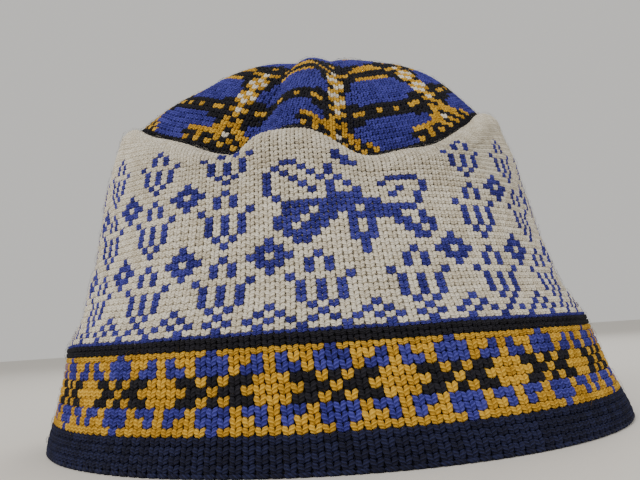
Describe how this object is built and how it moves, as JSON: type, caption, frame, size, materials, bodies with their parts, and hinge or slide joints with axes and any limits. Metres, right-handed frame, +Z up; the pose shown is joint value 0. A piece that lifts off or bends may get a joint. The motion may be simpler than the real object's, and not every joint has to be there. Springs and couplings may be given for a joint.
{
  "type": "knitted colourwork hat with flared rim",
  "caption": "Bell-shaped knitted hat with a domed crown, a cream panel of blue flowers and a dragonfly, and a flared star band.",
  "frame": {"origin": "middle of the hem's bottom edge, on the surface the hat stands on", "axes": "+Z up through the crown, the front with the dragonfly faces -Y, +X is the viewer's right when facing the front"},
  "size_m": [0.211, 0.211, 0.1415],
  "materials": {
    "navy_yarn": "matt worsted wool, plain knit, very dark navy",
    "gold_yarn": "matt worsted wool, golden yellow, knitted with blue and black",
    "black_yarn": "matt worsted wool, plain knit, black",
    "cream_yarn": "matt worsted wool, cream white, knitted with blue motifs",
    "blue_yarn": "matt worsted wool, royal blue, knitted with yellow and black"
  },
  "bodies": {
    "root": {"hem": "navy_yarn", "star_band": "gold_yarn", "dark_stripe": "black_yarn", "flower_panel": "cream_yarn", "crown": "blue_yarn"}
  },
  "joints": []
}
